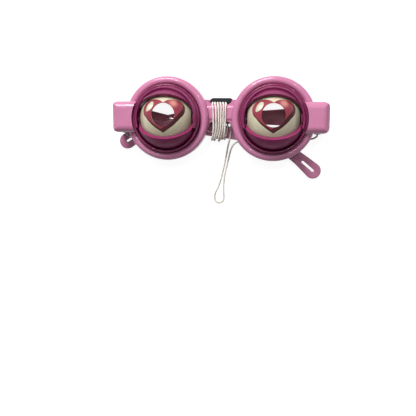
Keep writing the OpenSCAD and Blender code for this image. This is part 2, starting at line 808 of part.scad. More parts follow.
// A direction square to h, turned on from the one before so that the tube doesn't twist.
function square_to(h, old) = let (s = old - (old * h) * h) s / norm(s);
function frames(p, i, old) = i >= len(p) ? [] : let (s = square_to(heading(p, i), old))
  concat([s], frames(p, i + 1, s));

// A closed tube of radius r along the points p.
module tube(p, r, sides) {
  start = abs(heading(p, 0)[2]) > 0.9 ? [1, 0, 0] : [0, 0, 1];
  across = frames(p, 0, start);
  rings = len(p);
  polyhedron(
    points = [
      for (i = [0:rings - 1], k = [0:sides - 1])
        let (a = k * 360 / sides)
          p[i] + r * (cos(a) * across[i] + sin(a) * cross(heading(p, i), across[i]))
    ],
    faces = concat(
      [for (k = [1:sides - 2]) [0, k, k + 1]],
      [for (k = [1:sides - 2], last = [(rings - 1) * sides]) [last, last + k + 1, last + k]],
      [for (i = [0:rings - 2], k = [0:sides - 1])
        [i * sides + k, (i + 1) * sides + k, i * sides + (k + 1) % sides]],
      [for (i = [0:rings - 2], k = [0:sides - 1])
        [i * sides + (k + 1) % sides, (i + 1) * sides + k, (i + 1) * sides + (k + 1) % sides]]
    )
  );
}

// One turn of the cord round the bridge: a square-shouldered oval that hangs slack below.
function shoulder(v) = sign(v) * sqrt(abs(v));
function hang(t) = wind_low - wind_play * sin(t * 0.62) * max(0, -sin(t));
function turn_y(t) = let (c = shoulder(sin(t)), mid = bridge_y)
  c > 0 ? mid + c * (wind_top - mid) : mid + c * (mid - hang(t));
function turn_x(y) = wind_lean * max(0, join_y - 2 - y) / (join_y - 2 - wind_low);
function slack(y) = min(1, 1 - 0.4 * (bridge_y - bridge_h / 2 - 3 - y) / (bridge_y - wind_low));
function turn_z(t) = cord_z + (wind_front - cord_z) * (1 - shoulder(cos(t))) / 2 * slack(turn_y(t));
start_turn = asin(-pow((bridge_y - join_y - 1.5) / (bridge_y - wind_low), 2));
turn_steps = 24;
wind_steps = cord_turns * turn_steps;
function wind_point(i) = let (t = start_turn + i * 360 / turn_steps, y = turn_y(t))
  [wind_x0 + (wind_x1 - wind_x0) * i / wind_steps + turn_x(y), y, turn_z(t)];
winding = concat(
  [[wind_x0, join_y, cord_z]],
  [for (i = [0:wind_steps]) wind_point(i)],
  [[wind_x1, rise_y, cord_z]]
);

// Least gap between parts of the cord that lie at least half a turn apart along it.
function own_gap(p, r, apart) = min([
  for (i = [0:len(p) - 1 - apart], j = [i + apart:len(p) - 1]) norm(p[i] - p[j])
]) - 2 * r;
echo(least_gap_in_the_winding = own_gap(winding, cord_r, turn_steps / 2));

// Puts the origin below the middle of the pair's outline, on the table.
module placed() {
  translate([0, -centre_y, 0]) children();
}

placed() front_frame();
placed() nose_pad();
placed() cover_screws();
placed() housing_screws();
placed() at_eye(-1) rear_cover();  // left_rear_cover
placed() at_eye(1) rear_cover();  // right_rear_cover
placed() at_eye(-1) bezel();  // left_bezel
placed() at_eye(1) bezel();  // right_bezel
placed() at_eye(-1) eyeball();  // left_eyeball
placed() at_eye(1) eyeball();  // right_eyeball
placed() at_eye(-1) upper_lid();  // left_upper_lid
placed() at_eye(1) upper_lid();  // right_upper_lid
placed() at_eye(-1) lower_lid();  // left_lower_lid
placed() at_eye(1) lower_lid();  // right_lower_lid
placed() at_eye(-1) upper_gear();  // left_upper_gear
placed() at_eye(1) upper_gear();  // right_upper_gear
placed() at_eye(-1) lower_gear();  // left_lower_gear
placed() at_eye(1) lower_gear();  // right_lower_gear
placed() at_eye(-1) inner_pin();  // left_inner_pin
placed() at_eye(1) inner_pin();  // right_inner_pin
placed() at_eye(-1) gear_housing();  // left_gear_housing
placed() at_eye(1) gear_housing();  // right_gear_housing
placed() at_eye(-1) hinge_housing(-1);  // left_hinge_housing
placed() at_eye(1) hinge_housing(1);  // right_hinge_housing
placed() at_eye(-1) rack_slider();  // left_rack_slider
placed() at_eye(1) rack_slider();  // right_rack_slider
placed() at_eye(-1) return_spring();  // left_return_spring
placed() at_eye(1) return_spring();  // right_return_spring
placed() at_eye(-1) cord_bush();  // left_cord_bush
placed() at_eye(1) cord_bush();  // right_cord_bush
placed() at_eye(-1) arm(-1);  // left_arm
placed() at_eye(1) arm(1);  // right_arm
placed() at_eye(-1) hinge_pin(-1);  // left_hinge_pin
placed() at_eye(1) hinge_pin(1);  // right_hinge_pin
placed() color(white) tube(smooth(left_route, 4), cord_r, 8);  // cord_left_run
placed() color(white) tube(winding, cord_r, 6);  // cord_winding
placed() color(white) tube(smooth(tail_route, 3), cord_r, 8);  // cord_tail
placed() color(white) tube(smooth(right_route, 4), cord_r, 8);  // cord_right_run
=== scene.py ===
"""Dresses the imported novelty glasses: moulded plastics, printed hearts, springs, nose pad and chin cord."""
import logging
import math
from dataclasses import dataclass, field
from enum import Enum
from typing import Callable

import bmesh
import bpy
from mathutils import Matrix, Vector


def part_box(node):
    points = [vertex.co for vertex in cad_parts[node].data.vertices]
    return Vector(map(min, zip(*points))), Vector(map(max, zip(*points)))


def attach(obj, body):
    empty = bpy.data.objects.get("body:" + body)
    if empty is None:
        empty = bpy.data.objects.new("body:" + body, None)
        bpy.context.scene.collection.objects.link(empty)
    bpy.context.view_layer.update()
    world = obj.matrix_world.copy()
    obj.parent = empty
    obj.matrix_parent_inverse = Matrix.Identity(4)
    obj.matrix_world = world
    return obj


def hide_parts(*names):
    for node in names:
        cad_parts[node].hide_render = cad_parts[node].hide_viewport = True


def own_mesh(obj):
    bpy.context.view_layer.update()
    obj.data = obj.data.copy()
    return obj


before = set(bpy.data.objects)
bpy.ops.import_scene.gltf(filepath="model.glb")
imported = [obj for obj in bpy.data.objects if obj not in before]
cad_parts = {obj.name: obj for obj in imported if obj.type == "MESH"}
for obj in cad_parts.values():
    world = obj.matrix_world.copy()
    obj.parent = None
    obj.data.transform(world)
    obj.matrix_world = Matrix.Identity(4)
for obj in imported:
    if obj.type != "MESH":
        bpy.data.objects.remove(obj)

LOG = logging.getLogger("novelty_glasses")
MM = 0.001
LIFT_Y = 7.0  # the part's origin lies this far below the eye centres, in millimetres
EYE_X = 39.25  # from the middle of the bridge to an eye centre, in millimetres
WELD_MM = 0.002  # edges shorter than this are taken out
INK_WELD_MM = 0.004  # points of an ink that are nearer than this become one
FLAT = math.radians(0.5)  # faces that meet at less than this become one
CORNER = math.radians(50)  # faces that meet at more than this form a corner, which a mould rounds
CREASE = math.radians(40)  # faces that meet at more than this are shaded apart
MIX_A, MIX_B, MIXED = 6, 7, 2  # a Mix node's two colour inputs and its colour output, by number
Point = tuple[float, float, float]


class Side(Enum):
    """The two sides of the face, by the sign of their X."""

    LEFT = -1
    RIGHT = 1

    @property
    def word(self) -> str:
        """The prefix of this side's node names."""
        return self.name.lower()


def linear(code: str) -> tuple[float, float, float, float]:
    """Turns an sRGB hex colour to linear red, green, blue and an alpha of 1.

    Args:
        code: The colour, such as "#E87DBD".

    Returns:
        The four numbers that a colour socket takes.
    """
    parts = [int(code[i:i + 2], 16) / 255 for i in (1, 3, 5)]
    r, g, b = (c / 12.92 if c <= 0.04045 else ((c + 0.055) / 1.055) ** 2.4 for c in parts)
    return r, g, b, 1.0


def add(tree: bpy.types.NodeTree, kind: str, inputs: dict | None = None, **settings) -> bpy.types.Node:
    """Adds a node to a tree.

    Args:
        tree: The tree.
        kind: The node's Blender type.
        inputs: Socket name or number to a plain value or to the output that it is linked to.
        **settings: Properties of the node itself.

    Returns:
        The new node.
    """
    node = tree.nodes.new(kind)
    for key, value in settings.items():
        setattr(node, key, value)
    for key, value in (inputs or {}).items():
        if isinstance(value, bpy.types.NodeSocket):
            tree.links.new(value, node.inputs[key])
        else:
            node.inputs[key].default_value = value
    return node


def new_material(name: str) -> tuple[bpy.types.Material, bpy.types.NodeTree]:
    """Makes an empty node material.

    Args:
        name: The material's name.

    Returns:
        The material and its node tree.
    """
    material = bpy.data.materials.new(name)
    material.use_nodes = True
    material.node_tree.nodes.clear()
    return material, material.node_tree


@dataclass(frozen=True)
class Finish:
    """How one kind of surface looks. It becomes a Blender material on its first use."""

    name: str

    def material(self) -> bpy.types.Material:
        """Hands out the finish as a Blender material.

        Returns:
            The one material of this name.
        """
        material = bpy.data.materials.get(self.name)
        if material is None:
            material, tree = new_material(self.name)
            add(tree, "ShaderNodeOutputMaterial", {"Surface": self.surface(tree)})
        return material

    def surface(self, tree: bpy.types.NodeTree) -> bpy.types.NodeSocket:
        """Adds the finish's own nodes to an empty tree and returns the output that shades the surface."""
        raise NotImplementedError


@dataclass(frozen=True)
class MouldedPlastic(Finish):
    """Glossy injection-moulded ABS. Its colour drifts a little where the melt flowed, its skin has a
    faint orange peel, and handling has left dull patches in the gloss."""

    colour: str
    deep: str
    roughness: float = 0.2
    coat: float = 0.6
    flow_mm: float = 26.0
    peel_mm: float = 1.6
    peel: float = 0.035
    smear_mm: float = 9.0
    polished: float = 0.8
    handled: float = 1.45
    glow: float = 0.0
    specular: float = 0.5

    def surface(self, tree: bpy.types.NodeTree) -> bpy.types.NodeSocket:
        """Adds the drift of the colour, the dull patches, the orange peel and the plastic.

        Args:
            tree: The material's empty tree.

        Returns:
            The output that shades the surface.
        """
        place = add(tree, "ShaderNodeTexCoord").outputs["Object"]
        flow = add(tree, "ShaderNodeTexNoise", {
            "Vector": place, "Scale": 1 / (self.flow_mm * MM), "Detail": 3.0, "Roughness": 0.45,
            "Distortion": 0.6})
        drift = add(tree, "ShaderNodeMapRange", {
            "Value": flow.outputs["Fac"], "From Min": 0.35, "From Max": 0.68, "To Min": 0.0,
            "To Max": 0.55}, interpolation_type="SMOOTHSTEP")
        tint = add(tree, "ShaderNodeMix", {
            "Factor": drift.outputs["Result"], MIX_A: linear(self.colour),
            MIX_B: linear(self.deep)}, data_type="RGBA")
        smear = add(tree, "ShaderNodeTexNoise", {
            "Vector": place, "Scale": 1 / (self.smear_mm * MM), "Detail": 6.0, "Roughness": 0.62})
        dull = add(tree, "ShaderNodeMapRange", {
            "Value": smear.outputs["Fac"], "From Min": 0.3, "From Max": 0.75,
            "To Min": self.roughness * self.polished, "To Max": self.roughness * self.handled})
        peel = add(tree, "ShaderNodeTexNoise", {
            "Vector": place, "Scale": 1 / (self.peel_mm * MM), "Detail": 2.0})
        skin = add(tree, "ShaderNodeBump", {
            "Height": peel.outputs["Fac"], "Strength": self.peel, "Distance": 0.2 * MM})
        return add(tree, "ShaderNodeBsdfPrincipled", {
            "Base Color": tint.outputs[MIXED], "Roughness": dull.outputs["Result"],
            "Normal": skin.outputs["Normal"], "Coat Weight": self.coat, "Coat Roughness": 0.06,
            "IOR": 1.53, "Specular IOR Level": self.specular, "Subsurface Weight": self.glow,
            "Subsurface Radius": (1.0, 0.25, 0.55), "Subsurface Scale": 1.6 * MM}).outputs["BSDF"]


@dataclass(frozen=True)
class SatinAcetal(Finish):
    """Unpainted acetal as moulded for gears: waxy, off-white and slightly see-through in thin parts."""

    name: str = "gear_acetal"
    colour: str = "#DCD8CB"
    speck: str = "#BDB8A8"
    speck_mm: float = 1.2

    def surface(self, tree: bpy.types.NodeTree) -> bpy.types.NodeSocket:
        """Adds the specks, their grain and the plastic.

        Args:
            tree: The material's empty tree.

        Returns:
            The output that shades the surface.
        """
        place = add(tree, "ShaderNodeTexCoord").outputs["Object"]
        specks = add(tree, "ShaderNodeTexNoise", {
            "Vector": place, "Scale": 1 / (self.speck_mm * MM), "Detail": 8.0})
        share = add(tree, "ShaderNodeMapRange", {
            "Value": specks.outputs["Fac"], "From Min": 0.5, "From Max": 0.75})
        tint = add(tree, "ShaderNodeMix", {
            "Factor": share.outputs["Result"], MIX_A: linear(self.colour),
            MIX_B: linear(self.speck)}, data_type="RGBA")
        grain = add(tree, "ShaderNodeBump", {
            "Height": specks.outputs["Fac"], "Strength": 0.12, "Distance": 0.1 * MM})
        return add(tree, "ShaderNodeBsdfPrincipled", {
            "Base Color": tint.outputs[MIXED], "Roughness": 0.42, "Normal": grain.outputs["Normal"],
            "IOR": 1.48, "Subsurface Weight": 0.2, "Subsurface Radius": (1.0, 0.9, 0.7),
            "Subsurface Scale": 0.8 * MM}).outputs["BSDF"]


@dataclass(frozen=True)
class DrawnSteel(Finish):
    """Plain steel, drawn or cold-headed: fine grain over a grey, slightly stained gloss."""

    name: str = "drawn_steel"
    colour: str = "#B9BBBE"
    stain: str = "#85878B"
    stain_mm: float = 2.5
    grain_mm: float = 0.25  # several times the real grain, which is too fine to show

    def surface(self, tree: bpy.types.NodeTree) -> bpy.types.NodeSocket:
        """Adds the stains, the grain and the metal.

        Args:
            tree: The material's empty tree.

        Returns:
            The output that shades the surface.
        """
        place = add(tree, "ShaderNodeTexCoord").outputs["Object"]
        stains = add(tree, "ShaderNodeTexNoise", {
            "Vector": place, "Scale": 1 / (self.stain_mm * MM), "Detail": 5.0})
        tint = add(tree, "ShaderNodeMix", {
            "Factor": stains.outputs["Fac"], MIX_A: linear(self.colour),
            MIX_B: linear(self.stain)}, data_type="RGBA")
        marks = add(tree, "ShaderNodeTexNoise", {
            "Vector": place, "Scale": 1 / (self.grain_mm * MM), "Detail": 2.0})
        grain = add(tree, "ShaderNodeBump", {
            "Height": marks.outputs["Fac"], "Strength": 0.2, "Distance": 0.02 * MM})
        return add(tree, "ShaderNodeBsdfPrincipled", {
            "Base Color": tint.outputs[MIXED], "Metallic": 1.0, "Roughness": 0.32,
            "Normal": grain.outputs["Normal"]}).outputs["BSDF"]


@dataclass(frozen=True)
class SoftRubber(Finish):
    """Moulded soft rubber: near-black with a blue cast, dull, pebbled by the spark-eroded mould and dusty."""

    name: str = "moulded_rubber"
    colour: str = "#14181E"
    dust: str = "#1B2026"
    dust_mm: float = 4.0
    pebble_mm: float = 0.7  # several times the real pebbles, which are too fine to show

    def surface(self, tree: bpy.types.NodeTree) -> bpy.types.NodeSocket:
        """Adds the dust, the pebbled skin and the rubber.

        Args:
            tree: The material's empty tree.

        Returns:
            The output that shades the surface.
        """
        place = add(tree, "ShaderNodeTexCoord").outputs["Object"]
        dust = add(tree, "ShaderNodeTexNoise", {
            "Vector": place, "Scale": 1 / (self.dust_mm * MM), "Detail": 9.0, "Roughness": 0.7})
        share = add(tree, "ShaderNodeMapRange", {
            "Value": dust.outputs["Fac"], "From Min": 0.48, "From Max": 0.8})
        tint = add(tree, "ShaderNodeMix", {
            "Factor": share.outputs["Result"], MIX_A: linear(self.colour),
            MIX_B: linear(self.dust)}, data_type="RGBA")
        pebble = add(tree, "ShaderNodeTexVoronoi", {
            "Vector": place, "Scale": 1 / (self.pebble_mm * MM)})
        skin = add(tree, "ShaderNodeBump", {
            "Height": pebble.outputs["Distance"], "Strength": 0.25, "Distance": 0.15 * MM})
        return add(tree, "ShaderNodeBsdfPrincipled", {
            "Base Color": tint.outputs[MIXED], "Roughness": 0.48, "Normal": skin.outputs["Normal"],
            "IOR": 1.52, "Specular IOR Level": 0.2}).outputs["BSDF"]


@dataclass(frozen=True)
class TwistedCotton(Finish):
    """White cotton cord of three twisted strands: dull, fibrous and a little soiled."""

    name: str = "twisted_cotton"
    colour: str = "#F8F1E7"
    soil: str = "#D3C6B9"
    soil_mm: float = 5.0
    fibre_mm: float = 0.18  # about ten times a real fibre, which is too fine to show

    def surface(self, tree: bpy.types.NodeTree) -> bpy.types.NodeSocket:
        """Adds the soil, the fibres and the cotton.

        Args:
            tree: The material's empty tree.

        Returns:
            The output that shades the surface.
        """
        place = add(tree, "ShaderNodeTexCoord").outputs["Object"]
        soil = add(tree, "ShaderNodeTexNoise", {
            "Vector": place, "Scale": 1 / (self.soil_mm * MM), "Detail": 6.0, "Roughness": 0.6})
        share = add(tree, "ShaderNodeMapRange", {
            "Value": soil.outputs["Fac"], "From Min": 0.4, "From Max": 0.75})
        tint = add(tree, "ShaderNodeMix", {
            "Factor": share.outputs["Result"], MIX_A: linear(self.colour),
            MIX_B: linear(self.soil)}, data_type="RGBA")
        fibres = add(tree, "ShaderNodeTexNoise", {
            "Vector": place, "Scale": 1 / (self.fibre_mm * MM), "Detail": 4.0})
        fuzz = add(tree, "ShaderNodeBump", {
            "Height": fibres.outputs["Fac"], "Strength": 0.5, "Distance": 0.1 * MM})
        return add(tree, "ShaderNodeBsdfPrincipled", {
            "Base Color": tint.outputs[MIXED], "Roughness": 0.85, "Normal": fuzz.outputs["Normal"],
            "Sheen Weight": 0.35, "Sheen Roughness": 0.5, "Specular IOR Level": 0.25}).outputs["BSDF"]


@dataclass(frozen=True)
class PadPrintInk(Finish):
    """Pad-printed ink on a moulded eyeball: flat and glossy, lighter round a spot, with a faint stipple of
    dots. On the crimson ink that spot is a painted highlight. The spot is in metres."""

    colour: str
    light: str
    spot: Point
    spot_mm: float
    dot_mm: float = 0.35  # several times a real dot of ink, which is too fine to show

    def surface(self, tree: bpy.types.NodeTree) -> bpy.types.NodeSocket:
        """Adds the lighter spot, which on the crimson ink is a painted highlight, the stipple and the ink.

        Args:
            tree: The material's empty tree.

        Returns:
            The output that shades the surface.
        """
        place = add(tree, "ShaderNodeTexCoord").outputs["Object"]
        away = add(tree, "ShaderNodeVectorMath", {0: place, 1: self.spot}, operation="DISTANCE")
        # lighter towards the spot; on the crimson ink this is a painted highlight
        fade = add(tree, "ShaderNodeMapRange", {
            "Value": away.outputs["Value"], "From Min": 0.0, "From Max": self.spot_mm * MM,
            "To Min": 1.0, "To Max": 0.0}, interpolation_type="SMOOTHERSTEP")
        dots = add(tree, "ShaderNodeTexNoise", {
            "Vector": place, "Scale": 1 / (self.dot_mm * MM), "Detail": 2.0})
        stipple = add(tree, "ShaderNodeMath", {
            0: dots.outputs["Fac"], 1: 0.25, 2: -0.12}, operation="MULTIPLY_ADD")
        share = add(tree, "ShaderNodeMath", {
            0: fade.outputs["Result"], 1: stipple.outputs["Value"]}, operation="ADD", use_clamp=True)
        tint = add(tree, "ShaderNodeMix", {
            "Factor": share.outputs["Value"], MIX_A: linear(self.colour),
            MIX_B: linear(self.light)}, data_type="RGBA")
        return add(tree, "ShaderNodeBsdfPrincipled", {
            "Base Color": tint.outputs[MIXED], "Roughness": 0.24, "Coat Weight": 0.25,
            "Coat Roughness": 0.08, "IOR": 1.5, "Specular IOR Level": 0.25}).outputs["BSDF"]


# The frame and the housings: a thin gloss over a satin body, so that highlights have soft edges.
PINK = MouldedPlastic("pink_abs", "#CF81A6", "#C17398", roughness=0.3, coat=0.4, glow=0.1, specular=0.3)
# The arms: the same pink from a less polished mould, duller and with more orange peel.
ARM_PINK = MouldedPlastic("arm_pink_abs", "#CB80A2", "#BC7293", roughness=0.36, coat=0.2, peel=0.06,
                          specular=0.35)
# The bezels and the upper lids: a deep colour that lets light a little way in.
MAGENTA = MouldedPlastic("magenta_abs", "#872D5A", "#73234B", roughness=0.26, coat=0.25, glow=0.15,
                         specular=0.15)
# The lower lids: satin, without a gloss over it, and lighter than the magenta of the upper lids; that extra
# lightness is painted light, making up for the lamps' light that misses them.
LIT_LID_MAGENTA = MouldedPlastic("lit_lid_magenta_abs", "#943564", "#802B54", roughness=0.34, coat=0.0, glow=0.2,
                             specular=0.1)
# The eyeballs: a warm white with a soft gloss.
IVORY = MouldedPlastic("ivory_abs", "#DBD2B6", "#CDC3A4", roughness=0.28, coat=0.35, glow=0.15,
                       specular=0.4)
ACETAL = SatinAcetal()
STEEL = DrawnSteel()
RUBBER = SoftRubber()
COTTON = TwistedCotton()


def dress(finish: Finish, *nodes: str) -> None:
    """Gives CAD nodes a finish.

    Args:
        finish: The finish.
        *nodes: The nodes' names.
    """
    for name in nodes:
        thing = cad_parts[name]
        if not thing.material_slots:
            thing.data.materials.append(None)
        for slot in thing.material_slots:
            slot.link = "OBJECT"
            slot.material = finish.material()
        LOG.info("%s: %s", name, finish.name)


def place_piece(name: str, bm: bmesh.types.BMesh, finish: Finish, body: str) -> bpy.types.Object:
    """Turns a bmesh in metres to a smooth piece that rides on a body.

    Args:
        name: The piece's name.
        bm: The shape, which is freed.
        finish: Its finish.
        body: The CAD body that it moves with.

    Returns:
        The new object.
    """
    mesh = bpy.data.meshes.new(name)
    for face in bm.faces:
        face.smooth = True
    bm.to_mesh(mesh)
    bm.free()
    thing = bpy.data.objects.new(name, mesh)
    bpy.context.scene.collection.objects.link(thing)
    mesh.materials.append(finish.material())
    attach(thing, body)
    LOG.info("%s: %d faces on %s", name, len(mesh.polygons), body)
    return thing


def eased(node: str, finish: Finish, body: str, width_mm: float) -> bpy.types.Object:
    """Copies a CAD node, rounds its corners as a mould does, and shows the copy in its place.

    Args:
        node: The CAD node.
        finish: Its finish.
        body: The body that it rides on.
        width_mm: How far the rounding reaches from an edge.

    Returns:
        The new object.
    """
    bm = bmesh.new()
    bm.from_mesh(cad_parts[node].data)
    bmesh.ops.remove_doubles(bm, verts=bm.verts, dist=WELD_MM * MM)
    bmesh.ops.dissolve_limit(bm, angle_limit=FLAT, verts=bm.verts, edges=bm.edges)
    corners = [e for e in bm.edges if len(e.link_faces) == 2 and e.calc_face_angle(0) > CORNER]
    bmesh.ops.bevel(bm, geom=corners, offset=width_mm * MM, offset_type="OFFSET", segments=2, profile=0.5,
                    affect="EDGES", clamp_overlap=True, material=-1)
    bmesh.ops.dissolve_degenerate(bm, dist=WELD_MM * MM, edges=bm.edges)
    thing = place_piece(f"{node}_moulded", bm, finish, body)
    thing.data.set_sharp_from_angle(angle=CREASE)
    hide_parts(node)
    return thing


def metres(points: list[Point]) -> list[Vector]:
    """Turns places in millimetres, whose Y is from the eye centres, to metres in the part's frame."""
    return [Vector((x, y + LIFT_Y, z)) * MM for x, y, z in points]


def smooth_route(points: list[Vector], steps: int) -> list[Vector]:
    """Points of a smooth curve through the given ones, as the part's own routes are.

    Args:
        points: The points that it passes.
        steps: Points from one to the next.

    Returns:
        The curve's points, with the first and the last of the given ones.
    """
    line: list[Vector] = []
    for i in range(len(points) - 1):
        a, b = points[max(i - 1, 0)], points[i]
        c, d = points[i + 1], points[min(i + 2, len(points) - 1)]
        for k in range(steps):
            t = k / steps
            line.append(b + t * ((c - a) / 2 + t * (a - 2.5 * b + 2 * c - d / 2
                                                    + t * (1.5 * (b - c) + (d - a) / 2))))
    return line + [points[-1].copy()]


def evenly(points: list[Vector], step: float) -> list[Vector]:
    """The same line with its points a fixed distance apart.

    Args:
        points: The line.
        step: Distance between the new points.

    Returns:
        The new points, from the first to the last of the old ones.
    """
    reach = [0.0]
    for a, b in zip(points, points[1:]):
        reach.append(reach[-1] + (b - a).length)
    count = max(2, round(reach[-1] / step))
    line, i = [], 0
    for k in range(count + 1):
        want = reach[-1] * k / count
        while i < len(points) - 2 and reach[i + 1] < want:
            i += 1
        span = reach[i + 1] - reach[i]
        line.append(points[i].lerp(points[i + 1], (want - reach[i]) / span if span else 0.0))
    return line


def edges_of(verts: list[bmesh.types.BMVert]) -> list[bmesh.types.BMEdge]:
    """The edges at some vertices, each once and in the vertices' order."""
    return list(dict.fromkeys(e for v in verts for e in v.link_edges))


def tube(line: list[Vector], radius: Callable[[float], float], sides: int,
         twist: float = 0.0) -> bmesh.types.BMesh:
    """Extrudes a ring of vertices along a line, carried without turning except for the twist.

    Args:
        line: Centreline in metres.
        radius: Radius in metres at an angle round the tube, before the twist.
        sides: Vertices round the tube.
        twist: Turn about the line for each metre along it, in radians.

    Returns:
        The tube with its ends closed.
    """
    bm = bmesh.new()
    ahead = (line[1] - line[0]).normalized()
    across = ahead.orthogonal().normalized()
    ring = bmesh.ops.create_circle(bm, segments=sides, radius=1.0)["verts"]
    edges = edges_of(ring)
    rings = [ring]
    for _ in line[1:]:
        made = bmesh.ops.extrude_edge_only(bm, edges=edges)["geom"]
        edges = [g for g in made if isinstance(g, bmesh.types.BMEdge)]
        order = {v.co.copy().freeze(): v for v in made if isinstance(v, bmesh.types.BMVert)}
        rings.append([order[v.co.copy().freeze()] for v in ring])
    shape = [math.atan2(v.co.y, v.co.x) for v in ring]
    along = 0.0
    for i, (verts, here) in enumerate(zip(rings, line)):
        ahead = (line[min(i + 1, len(line) - 1)] - line[max(i - 1, 0)]).normalized()
        across = (across - ahead * across.dot(ahead)).normalized()
        square = ahead.cross(across)
        along += (here - line[i - 1]).length if i else 0.0
        for v, angle in zip(verts, shape):
            turned = angle + twist * along
            v.co = here + radius(angle) * (math.cos(turned) * across + math.sin(turned) * square)
    bmesh.ops.holes_fill(bm, edges=[e for e in bm.edges if e.is_boundary], sides=sides)
    bmesh.ops.recalc_face_normals(bm, faces=bm.faces)
    return bm


def facing_up(bm: bmesh.types.BMesh) -> bmesh.types.BMesh:
    """Turns a sheet's faces to the side from which the print is seen.

    Args:
        bm: The sheet.

    Returns:
        The same bmesh.
    """
    bmesh.ops.recalc_face_normals(bm, faces=bm.faces)
    if sum(f.normal.z for f in bm.faces) < 0:
        bmesh.ops.reverse_faces(bm, faces=bm.faces)
    return bm


def film(bm: bmesh.types.BMesh, thick_mm: float) -> bmesh.types.BMesh:
    """Makes a closed film of an open sheet, which stays its outer face. What has no width is dropped.

    Args:
        bm: The sheet, whose faces point outwards.
        thick_mm: Thickness of the film.

    Returns:
        The same bmesh.
    """
    bmesh.ops.remove_doubles(bm, verts=bm.verts, dist=INK_WELD_MM * MM)
    bmesh.ops.dissolve_degenerate(bm, dist=WELD_MM * MM, edges=bm.edges)
    bmesh.ops.delete(bm, geom=[e for e in bm.edges if not e.link_faces], context="EDGES")
    bmesh.ops.delete(bm, geom=[v for v in bm.verts if not v.link_edges], context="VERTS")
    bmesh.ops.solidify(bm, geom=bm.faces[:], thickness=thick_mm * MM)
    bmesh.ops.recalc_face_normals(bm, faces=bm.faces)
    return bm


